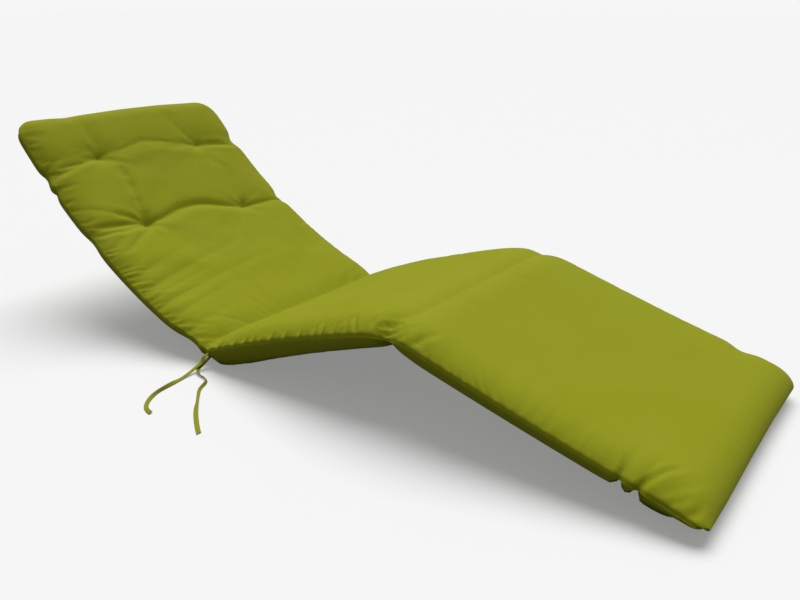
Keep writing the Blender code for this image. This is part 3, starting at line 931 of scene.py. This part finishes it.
def cubic_read(field, i, j):
    """The field read between its points with a smooth curve in both directions."""

    def weights(share):
        t = share[:, None]
        return np.concatenate(
            (
                -0.5 * t + t**2 - 0.5 * t**3,
                1 - 2.5 * t**2 + 1.5 * t**3,
                0.5 * t + 2 * t**2 - 1.5 * t**3,
                -0.5 * t**2 + 0.5 * t**3,
            ),
            axis=1,
        )

    i0 = np.clip(np.floor(i).astype(int), 0, field.shape[0] - 2)
    j0 = np.clip(np.floor(j).astype(int), 0, field.shape[1] - 2)
    wi, wj = weights(i - i0), weights(j - j0)
    total = np.zeros_like(i)
    for a in range(4):
        row = np.clip(i0 - 1 + a, 0, field.shape[0] - 1)
        for b in range(4):
            column = np.clip(j0 - 1 + b, 0, field.shape[1] - 1)
            total += wi[:, a] * wj[:, b] * field[row, column]
    return total


def simulated_puckers(cover):
    """Blows the top panel out as cloth held at its seams and tufts, and returns its puckers as a function."""
    ends = (0, CREASE, KNEE, LENGTH)
    parts = [np.linspace(a, b, int(round((b - a) / PANEL_STEP)) + 1) for a, b in zip(ends, ends[1:])]
    columns = np.concatenate((parts[0], parts[1][1:], parts[2][1:]))
    rows = np.linspace(-HALF, HALF, int(round(WIDTH / PANEL_STEP)) + 1)
    panel = flat_grid("panel", columns, rows)
    flat = read_points(panel)
    start = cushion_points(flat)
    write_points(panel, start)
    along, across = flat[:, 0], flat[:, 1]
    edge = at_rim(flat)
    sewn = (np.abs(along - CREASE) < SAME_PLACE) | (np.abs(along - KNEE) < SAME_PLACE)
    tufted = np.zeros(len(flat), dtype=bool)
    for row in TUFT_ROWS:
        for tuft_along, tuft_across in tufts(row):
            tufted |= np.hypot(along - tuft_along, across - tuft_across) < 0.8 * PANEL_STEP
    held = panel.vertex_groups.new(name="held")
    held.add([int(i) for i in np.flatnonzero(edge | sewn | tufted)], 1.0, "REPLACE")
    bpy.ops.object.modifier_add(type="CLOTH")
    cloth = panel.modifiers[-1]
    settings = cloth.settings
    settings.vertex_group_mass = "held"
    settings.quality = 6
    settings.mass = 0.3
    settings.tension_stiffness = 15
    settings.compression_stiffness = 15
    settings.shear_stiffness = 5
    settings.bending_stiffness = 0.3
    settings.use_pressure = True
    settings.uniform_pressure_force = cover.pressure
    settings.shrink_min = -cover.ease
    settings.effector_weights.gravity = 0
    cloth.point_cache.frame_start = 1
    cloth.point_cache.frame_end = cover.steps
    for step in range(1, cover.steps + 1):
        bpy.context.scene.frame_set(step)
    bpy.ops.object.modifier_apply(modifier=cloth.name)
    moved = read_points(panel) - start
    bpy.context.scene.frame_set(1)
    slope = np.radians(table_value(SLOPES, along, 1))
    lift = moved[:, 2] * np.cos(slope) - moved[:, 0] * np.sin(slope)
    bpy.data.objects.remove(panel)
    i = np.rint(np.interp(along, columns, np.arange(len(columns)))).astype(int)
    j = np.rint(np.interp(across, rows, np.arange(len(rows)))).astype(int)
    field = np.zeros((len(columns), len(rows)))
    field[i, j] = lift
    along_detail = field - smooth_rows(field, PUCKER_STEPS, 0)
    across_detail = field - smooth_rows(field, PUCKER_STEPS, 1)
    from_side = HALF - np.abs(rows)[None, :]
    from_seam = np.min([np.abs(columns - place) for place in ends], axis=0)[:, None]
    share = from_side / (from_side + from_seam + 1e-6)
    detail = (1 - share) * along_detail + share * across_detail
    at_side = bell(from_side, SIDE_REACH)
    inside_kept, near_kept, far_kept = (table_value(PUCKERS_KEPT, columns, k)[:, None] for k in (1, 2, 3))
    side_kept = np.where(rows[None, :] < 0, near_kept, far_kept)
    detail = np.clip(detail * (inside_kept * (1 - at_side) + side_kept * at_side), -cover.cap, cover.cap)

    def puckers(at_along, at_across):
        at_i = np.interp(at_along, columns, np.arange(len(columns)))
        at_j = np.interp(at_across, rows, np.arange(len(rows)))
        return cubic_read(detail, at_i, at_j)

    return puckers


def woven_group():
    """Plain-woven cloth: its colour, roughness and relief, from a map in metres."""
    group = bpy.data.node_groups.new("woven cloth", "ShaderNodeTree")
    for name, kind, value in (
        ("Map", "NodeSocketVector", None),
        ("Colour", "NodeSocketColor", (0.3, 0.32, 0.02, 1)),
        ("Threads per metre", "NodeSocketFloat", 1400.0),
        ("Variation", "NodeSocketFloat", 0.1),
    ):
        socket = group.interface.new_socket(name, in_out="INPUT", socket_type=kind)
        if value is not None:
            socket.default_value = value
    for name, kind in (
        ("Colour", "NodeSocketColor"),
        ("Roughness", "NodeSocketFloat"),
        ("Height", "NodeSocketFloat"),
    ):
        group.interface.new_socket(name, in_out="OUTPUT", socket_type=kind)
    nodes, links = group.nodes, group.links
    source = nodes.new("NodeGroupInput")
    result = nodes.new("NodeGroupOutput")

    def math_node(operation, a, b=None, clamp=False):
        node = nodes.new("ShaderNodeMath")
        node.operation = operation
        node.use_clamp = clamp
        for socket, value in zip(node.inputs, (a, b)):
            if isinstance(value, (int, float)):
                socket.default_value = value
            elif value is not None:
                links.new(value, socket)
        return node.outputs[0]

    def noise(scale, stretch, detail, rough=0.55):
        mapping = nodes.new("ShaderNodeMapping")
        mapping.inputs["Scale"].default_value = stretch
        links.new(source.outputs["Map"], mapping.inputs["Vector"])
        texture = nodes.new("ShaderNodeTexNoise")
        texture.inputs["Scale"].default_value = scale
        texture.inputs["Detail"].default_value = detail
        texture.inputs["Roughness"].default_value = rough
        links.new(mapping.outputs[0], texture.inputs["Vector"])
        return texture.outputs["Fac"]

    split = nodes.new("ShaderNodeSeparateXYZ")
    links.new(source.outputs["Map"], split.inputs[0])
    turn = math_node("MULTIPLY", source.outputs["Threads per metre"], math.pi)
    warp = math_node("SINE", math_node("MULTIPLY", split.outputs[0], turn))
    weft = math_node("SINE", math_node("MULTIPLY", split.outputs[1], turn))
    over = math_node("MULTIPLY", warp, weft)
    weave = math_node("ADD", math_node("MULTIPLY", over, 0.5), 0.5)
    slub_along = noise(1.0, (70, 1500, 1), 2)
    slub_across = noise(1.0, (1500, 70, 1), 2)
    slubs = math_node("MULTIPLY", math_node("ADD", slub_along, slub_across), 0.5)
    blotches = noise(7.0, (1, 1, 1), 4)
    grains = noise(160.0, (1, 1, 1), 3)
    mixed = math_node("ADD", math_node("MULTIPLY", slubs, 0.5), math_node("MULTIPLY", blotches, 0.35))
    mixed = math_node("ADD", mixed, math_node("MULTIPLY", grains, 0.15))
    swing = math_node("MULTIPLY", math_node("SUBTRACT", mixed, 0.5), source.outputs["Variation"])
    thread = math_node("MULTIPLY", math_node("SUBTRACT", weave, 0.5), 0.10)
    value = math_node("ADD", math_node("ADD", swing, thread), 1.0)
    tint = nodes.new("ShaderNodeHueSaturation")
    links.new(source.outputs["Colour"], tint.inputs["Color"])
    links.new(value, tint.inputs["Value"])
    links.new(math_node("SUBTRACT", 1.0, math_node("MULTIPLY", swing, 0.6)), tint.inputs["Saturation"])
    links.new(tint.outputs["Color"], result.inputs["Colour"])
    links.new(math_node("ADD", math_node("MULTIPLY", mixed, 0.2), 0.74), result.inputs["Roughness"])
    relief = math_node("ADD", math_node("MULTIPLY", weave, 0.4), math_node("MULTIPLY", slubs, 0.6))
    links.new(relief, result.inputs["Height"])
    return group


def cloth_material(name, colour, threads, variation, relief):
    """A dull woven material that reads the piece's own cloth map."""
    material = bpy.data.materials.new(name)
    material.use_nodes = True
    nodes, links = material.node_tree.nodes, material.node_tree.links
    shader = nodes["Principled BSDF"]
    shader.inputs["Sheen Weight"].default_value = 0.06
    shader.inputs["Sheen Roughness"].default_value = 0.5
    shader.inputs["Sheen Tint"].default_value = (0.75, 0.80, 0.25, 1)
    shader.inputs["Specular IOR Level"].default_value = 0.12
    cloth_uv = nodes.new("ShaderNodeUVMap")
    cloth_uv.uv_map = "cloth_map"
    woven = nodes.new("ShaderNodeGroup")
    woven.node_tree = bpy.data.node_groups.get("woven cloth") or woven_group()
    woven.inputs["Colour"].default_value = (*colour, 1)
    woven.inputs["Threads per metre"].default_value = threads
    woven.inputs["Variation"].default_value = variation
    links.new(cloth_uv.outputs[0], woven.inputs["Map"])
    links.new(woven.outputs["Colour"], shader.inputs["Base Color"])
    links.new(woven.outputs["Roughness"], shader.inputs["Roughness"])
    bump = nodes.new("ShaderNodeBump")
    bump.inputs["Distance"].default_value = relief
    bump.inputs["Strength"].default_value = 0.6
    links.new(woven.outputs["Height"], bump.inputs["Height"])
    links.new(bump.outputs["Normal"], shader.inputs["Normal"])
    return material


class LOUNGER_OT_cover(bpy.types.Operator):
    """Fill and sew the cushion's cover"""

    bl_idname = "lounger.cover"
    bl_label = "Cushion cover"

    def execute(self, context):
        cover = context.scene.lounger_cover
        puckers = simulated_puckers(cover)
        slab = flat_slab("cushion_cover")
        flat = read_points(slab)
        cloth_map(slab, flat)
        write_points(slab, cushion_points(flat, puckers))
        slab.data.shade_smooth()
        sharpen_seam(slab, flat)
        slab.data.materials.append(cloth_material("cover cloth", cover.colour, *COVER_CLOTH))
        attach(slab, "root")
        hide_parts("cushion")
        return {"FINISHED"}


def smooth_route(points, step):
    """A smooth curve through a route's points, read off at even steps."""
    points = [Vector(p) for p in points]
    padded = [2 * points[0] - points[1], *points, 2 * points[-1] - points[-2]]
    fine = []
    for a, b, c, d in zip(padded, padded[1:], padded[2:], padded[3:]):
        for i in range(12):
            u = i / 12
            bend = 2 * a - 5 * b + 4 * c - d
            twist = 3 * (b - c) + d - a
            fine.append(b + 0.5 * (u * (c - a) + u * u * bend + u**3 * twist))
    fine.append(points[-1])
    run = np.cumsum([0] + [(q - p).length for p, q in zip(fine, fine[1:])])
    count = max(round(run[-1] / step), 2)
    even = np.linspace(0, run[-1], count + 1)
    return [Vector([float(np.interp(s, run, [p[axis] for p in fine])) for axis in range(3)]) for s in even]


class LOUNGER_OT_tapes(bpy.types.Operator):
    """Lay the two tie tapes on the floor"""

    bl_idname = "lounger.tapes"
    bl_label = "Tie tapes"

    def execute(self, context):
        tape = context.scene.lounger_tapes
        material = cloth_material("tape cloth", tape.colour, *TAPE_CLOTH)
        for name, node, route, turns, widths, skew in (
            ("tape_straight", "tie_straight", STRAIGHT_ROUTE, STRAIGHT_TURNS, STRAIGHT_WIDTHS, 0.15),
            ("tape_wavy", "tie_wavy", WAVY_ROUTE, WAVY_TURNS, WAVY_WIDTHS, 0.7),
        ):
            path = smooth_route(route, TAPE_STATION)
            ribbon = sew_tape(name, path, turns, widths, skew, tape)
            ribbon.data.materials.append(material)
            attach(ribbon, "root")
            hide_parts(node)
        return {"FINISHED"}


# The section of the folded tape: (share of the half width, share of the half thickness).
TAPE_SECTION = (
    (-1.00, 0.00),
    (-0.96, 0.70),
    (-0.84, 1.00),
    (-0.45, 0.78),
    (0.00, 0.72),
    (0.45, 0.80),
    (0.84, 1.00),
    (0.96, 0.70),
    (1.00, 0.00),
    (0.96, -0.70),
    (0.84, -1.00),
    (0.00, -0.80),
    (-0.84, -1.00),
    (-0.96, -0.70),
)


def sew_tape(name, path, turns, widths, skew, tape):
    """A folded tape along its path, turned about it, with an end cut askew."""
    around, stations = len(TAPE_SECTION), len(path)
    deselect_all()
    bpy.ops.mesh.primitive_cylinder_add(vertices=around, radius=1, depth=1, end_fill_type="NGON")
    ribbon = bpy.context.object
    ribbon.name = ribbon.data.name = name
    mesh = ribbon.data
    divide_uprights(ribbon, stations - 2)
    points = read_points(ribbon)
    station = np.rint((points[:, 2] + 0.5) * (stations - 1)).astype(int)
    corner = np.rint(np.arctan2(points[:, 0], points[:, 1]) / (2 * math.pi) * around).astype(int) % around
    shares = np.linspace(0, 1, stations)
    turn = smooth_line(np.radians(table_value(turns, shares, 1)), 4)
    wide = smooth_line(table_value(widths, shares, 1) * tape.width / 2, 3)
    thick = tape.thickness / 2
    line = np.array([tuple(p) for p in path])
    ahead = np.gradient(line, axis=0)
    ahead /= np.linalg.norm(ahead, axis=1)[:, None]
    side = np.cross(ahead, (0, 0, 1))
    side /= np.linalg.norm(side, axis=1)[:, None]
    up = np.cross(side, ahead)
    across = side * np.cos(turn)[:, None] + up * np.sin(turn)[:, None]
    over = up * np.cos(turn)[:, None] - side * np.sin(turn)[:, None]
    rise = wide * np.abs(across[:, 2]) + thick * np.abs(over[:, 2]) + TAPE_OFF_FLOOR
    on_floor = np.clip((TAPE_LAID_BELOW - line[:, 2]) / TAPE_LAID_CHANGE, 0, 1)
    line[:, 2] = np.maximum(line[:, 2], rise * on_floor)
    section = np.array(TAPE_SECTION)[corner]
    from_end = np.clip(1 - (stations - 1 - station) / TAPE_CUT_STATIONS, 0, 1)
    slip = section[:, 0] * wide[station] * skew * from_end
    placed = line[station] + across[station] * (section[:, 0] * wide[station])[:, None]
    placed += over[station] * (section[:, 1] * thick)[:, None] + ahead[station] * slip[:, None]
    placed[:, 2] = np.maximum(placed[:, 2], TAPE_LOWEST)
    uv = np.stack((station * TAPE_STATION, section[:, 0] * tape.width / 2 + section[:, 1] * thick), axis=-1)
    write_points(ribbon, placed)
    layer = mesh.uv_layers.active or mesh.uv_layers.new(name="cloth_map")
    layer.name = "cloth_map"
    layer.data.foreach_set("uv", uv[corner_vertices(mesh)].ravel().astype(np.float32))
    bpy.ops.object.mode_set(mode="EDIT")
    bpy.ops.mesh.select_all(action="SELECT")
    bpy.ops.mesh.normals_make_consistent(inside=False)
    bpy.ops.object.mode_set(mode="OBJECT")
    mesh.shade_smooth()
    return ribbon


def smooth_line(values, spread):
    """A row of values smoothed, with its ends held."""
    return np.convolve(np.pad(values, 3 * spread, mode="edge"), smoothing(spread), mode="valid")


class LOUNGER_OT_studio(bpy.types.Operator):
    """Set the floor, the soft lights and the camera"""

    bl_idname = "lounger.studio"
    bl_label = "Studio"

    def execute(self, context):
        studio = context.scene.lounger_studio
        context.scene.view_settings.view_transform = "Standard"
        deselect_all()
        bpy.ops.mesh.primitive_grid_add(x_subdivisions=2, y_subdivisions=2, size=FLOOR_SIZE)
        floor = context.object
        floor.name = floor.data.name = "studio_floor"
        floor.data.materials.append(floor_material(studio.floor_colour))
        world = bpy.data.worlds.new("studio surround")
        context.scene.world = world
        world.use_nodes = True
        light_world(world, studio)
        add_light("overhead", OVERHEAD_PLACE, studio)
        add_camera(context)
        return {"FINISHED"}


def floor_material(colour):
    """A plain pale floor that throws little of its light back on the cushion."""
    material = bpy.data.materials.new("studio floor")
    material.use_nodes = True
    nodes, links = material.node_tree.nodes, material.node_tree.links
    shader = nodes["Principled BSDF"]
    shader.inputs["Roughness"].default_value = 0.9
    shader.inputs["Specular IOR Level"].default_value = 0.1
    path = nodes.new("ShaderNodeLightPath")
    mix = nodes.new("ShaderNodeMix")
    mix.data_type = "RGBA"
    mix.inputs["A"].default_value = (FLOOR_BOUNCE, FLOOR_BOUNCE, FLOOR_BOUNCE, 1)
    mix.inputs["B"].default_value = (*colour, 1)
    links.new(path.outputs["Is Camera Ray"], mix.inputs["Factor"])
    links.new(mix.outputs["Result"], shader.inputs["Base Color"])
    glow = nodes.new("ShaderNodeMath")
    glow.operation = "MULTIPLY"
    glow.inputs[1].default_value = FLOOR_GLOW
    links.new(path.outputs["Is Camera Ray"], glow.inputs[0])
    shader.inputs["Emission Color"].default_value = (1, 1, 1, 1)
    links.new(glow.outputs["Value"], shader.inputs["Emission Strength"])
    return material


def light_world(world, studio):
    """Pale all round to look at, and a weaker even light on the cushion."""
    nodes, links = world.node_tree.nodes, world.node_tree.links
    backdrop = nodes["Background"]
    backdrop.inputs["Color"].default_value = (1.0, 1.0, 1.0, 1)
    path = nodes.new("ShaderNodeLightPath")
    strength = nodes.new("ShaderNodeMix")
    strength.inputs["A"].default_value = studio.surround
    strength.inputs["B"].default_value = BACKDROP
    links.new(path.outputs["Is Camera Ray"], strength.inputs["Factor"])
    links.new(strength.outputs["Result"], backdrop.inputs["Strength"])


def add_light(name, place, studio):
    """A broad soft light from above, aimed at the middle of the cushion."""
    deselect_all()
    bpy.ops.object.light_add(type="SUN", location=place)
    lamp = bpy.context.object
    lamp.name = lamp.data.name = name
    lamp.rotation_euler = (-Vector(place)).to_track_quat("-Z", "Y").to_euler()
    lamp.data.energy = studio.overhead
    lamp.data.angle = studio.softness


def add_camera(context):
    """The camera at the picture's place, high in front of the foot."""
    deselect_all()
    bpy.ops.object.camera_add(location=CAMERA_PLACE, rotation=[math.radians(turn) for turn in CAMERA_TURN])
    camera = context.object
    camera.name = camera.data.name = "picture_camera"
    camera.data.sensor_width = CAMERA_SENSOR
    camera.data.lens = CAMERA_LENS
    context.scene.camera = camera


class LOUNGER_PT_panel(bpy.types.Panel):
    """Sizes and colours of the lounger cushion, and the steps that make it"""

    bl_idname = "LOUNGER_PT_panel"
    bl_label = "Lounger cushion"
    bl_space_type = "VIEW_3D"
    bl_region_type = "UI"
    bl_category = "Lounger cushion"

    def draw(self, context):
        for settings, operator in (
            (context.scene.lounger_cover, LOUNGER_OT_cover),
            (context.scene.lounger_tapes, LOUNGER_OT_tapes),
            (context.scene.lounger_studio, LOUNGER_OT_studio),
        ):
            box = self.layout.box()
            for name in settings.__annotations__:
                box.prop(settings, name)
            box.operator(operator.bl_idname)


CLASSES = (
    CoverSettings,
    TapeSettings,
    StudioSettings,
    LOUNGER_OT_cover,
    LOUNGER_OT_tapes,
    LOUNGER_OT_studio,
    LOUNGER_PT_panel,
)


def register():
    for cls in CLASSES:
        bpy.utils.register_class(cls)
    bpy.types.Scene.lounger_cover = PointerProperty(type=CoverSettings)
    bpy.types.Scene.lounger_tapes = PointerProperty(type=TapeSettings)
    bpy.types.Scene.lounger_studio = PointerProperty(type=StudioSettings)


def unregister():
    del bpy.types.Scene.lounger_studio
    del bpy.types.Scene.lounger_tapes
    del bpy.types.Scene.lounger_cover
    for cls in reversed(CLASSES):
        bpy.utils.unregister_class(cls)


def main():
    register()
    bpy.ops.lounger.studio()
    bpy.ops.lounger.tapes()
    bpy.ops.lounger.cover()


if __name__ == "__main__":
    main()
